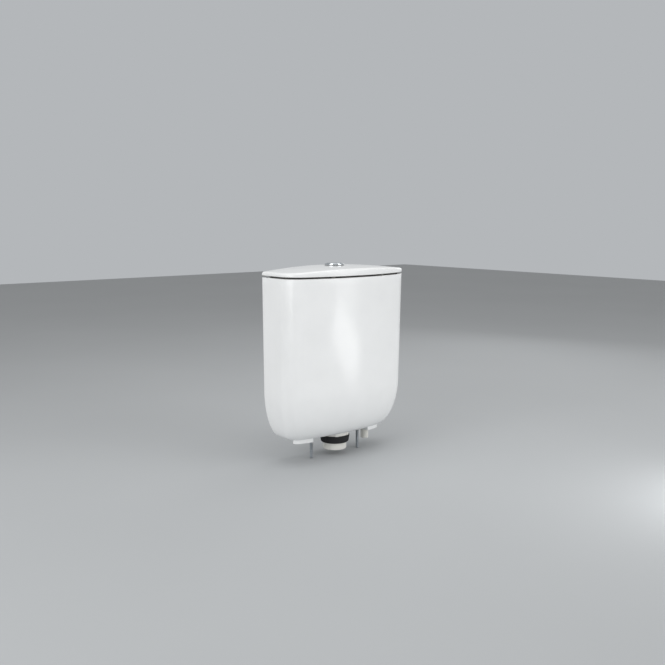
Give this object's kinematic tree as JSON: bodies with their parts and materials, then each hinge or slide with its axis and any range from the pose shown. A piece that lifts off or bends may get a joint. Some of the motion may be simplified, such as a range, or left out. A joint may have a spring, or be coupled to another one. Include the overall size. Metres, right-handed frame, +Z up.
{
  "type": "close-coupled toilet cistern",
  "caption": "Close-coupled toilet cistern: glazed china tank with a bowed front, domed lid, round chromed flush button, flush valve, bottom-entry fill valve and coupling bolts.",
  "frame": {"origin": "on the axis of the flush outlet, in the plane that the cistern's feet stand on", "axes": "+Z up, +Y to the wall behind, +X to the right-hand end seen from the front"},
  "size_m": [0.366, 0.1505, 0.4817],
  "materials": {
    "glazed_china": "white glazed vitreous china, glossy",
    "chromed_plastic": "chrome plate on moulded ABS, polished",
    "white_plastic": "moulded white ABS, satin",
    "grey_plastic": "moulded light grey polypropylene",
    "blue_plastic": "moulded blue acetal",
    "green_plastic": "moulded green acetal",
    "black_rubber": "black EPDM rubber",
    "clear_rubber": "translucent soft polyurethane",
    "foam_rubber": "closed-cell foam rubber",
    "red_silicone": "red silicone rubber",
    "spring_steel": "stainless wire and pin",
    "zinc_steel": "bright zinc-plated steel"
  },
  "bodies": {
    "cistern": {"tank_body": "glazed_china", "flush_valve_base": "white_plastic", "valve_gasket": "black_rubber", "flush_backnut": "white_plastic", "coupling_seal": "foam_rubber", "flush_valve_cage": "grey_plastic", "valve_tower": "white_plastic", "valve_head": "white_plastic", "lever_pin": "spring_steel", "inlet_shank": "white_plastic", "inlet_washer": "black_rubber", "inlet_backnut": "white_plastic", "inlet_filter": "grey_plastic", "fill_column": "white_plastic", "fill_valve_head": "white_plastic", "fill_diaphragm": "black_rubber", "fill_valve_cap": "blue_plastic", "silencer_tube": "white_plastic", "float_arm_pin": "spring_steel", "coupling_bolts": "zinc_steel", "bolt_rubber_washers": "black_rubber", "bolt_inner_washers": "zinc_steel", "bolt_outer_washers": "zinc_steel", "bolt_nuts": "zinc_steel"},
    "lid": {"lid": "glazed_china", "lid_buffers": "clear_rubber", "button_bezel": "chromed_plastic", "button_gasket": "black_rubber", "button_nut": "white_plastic"},
    "full_button": {"full_flush_button": "chromed_plastic", "full_push_rod": "white_plastic", "full_button_spring": "spring_steel"},
    "half_button": {"half_flush_button": "chromed_plastic", "half_push_rod": "white_plastic", "half_button_spring": "spring_steel"},
    "full_lever": {"full_flush_lever": "blue_plastic"},
    "half_lever": {"half_flush_lever": "green_plastic"},
    "flush_tube": {"overflow_tube": "grey_plastic", "flush_seal": "red_silicone", "seal_retainer": "white_plastic", "lift_yoke": "blue_plastic"},
    "half_float": {"half_flush_float": "green_plastic", "half_lift_strap": "green_plastic"},
    "fill_float": {"fill_float": "grey_plastic", "float_rod": "white_plastic", "rod_adjuster": "blue_plastic"},
    "float_arm": {"float_arm": "white_plastic"}
  },
  "joints": [
    {"name": "lid_lift", "type": "slide", "parent": "cistern", "child": "lid", "axis": [0, 0, 1], "range_m": [0, 0.12]},
    {"name": "full_button_press", "type": "slide", "parent": "lid", "child": "full_button", "axis": [0, 0, -1], "range_m": [0, 0.005], "stiffness_N_per_m": 500, "springref_m": -0.004, "deforming": ["full_button_spring"]},
    {"name": "half_button_press", "type": "slide", "parent": "lid", "child": "half_button", "axis": [0, 0, -1], "range_m": [0, 0.005], "stiffness_N_per_m": 500, "springref_m": -0.004, "deforming": ["half_button_spring"]},
    {"name": "full_lever_tilt", "type": "hinge", "parent": "cistern", "child": "full_lever", "pos_m": [0, -0.005, 0.336], "axis": [0, -1, 0], "range_deg": [0, 31.51]},
    {"name": "half_lever_tilt", "type": "hinge", "parent": "cistern", "child": "half_lever", "pos_m": [0, 0.005, 0.336], "axis": [0, 1, 0], "range_deg": [0, 26.36]},
    {"name": "flush_tube_lift", "type": "slide", "parent": "cistern", "child": "flush_tube", "axis": [0, 0, 1], "range_m": [0, 0.0086]},
    {"name": "half_float_lift", "type": "slide", "parent": "cistern", "child": "half_float", "axis": [0, 0, 1], "range_m": [0, 0.0075]},
    {"name": "fill_float_drop", "type": "slide", "parent": "cistern", "child": "fill_float", "axis": [0, 0, -1], "range_m": [0, 0.009]},
    {"name": "float_arm_tilt", "type": "hinge", "parent": "cistern", "child": "float_arm", "pos_m": [0.112, -0.01, 0.256], "axis": [1, 0, 0], "range_deg": [0, 23.72]}
  ],
  "couplings": [
    {"joint": "full_lever_tilt", "follows": "full_button_press", "rad_per_m": 110},
    {"joint": "flush_tube_lift", "follows": "full_button_press", "ratio": 1.72},
    {"joint": "half_lever_tilt", "follows": "half_button_press", "rad_per_m": 92},
    {"joint": "half_float_lift", "follows": "half_button_press", "ratio": 1.5},
    {"joint": "float_arm_tilt", "follows": "fill_float_drop", "rad_per_m": 46}
  ]
}
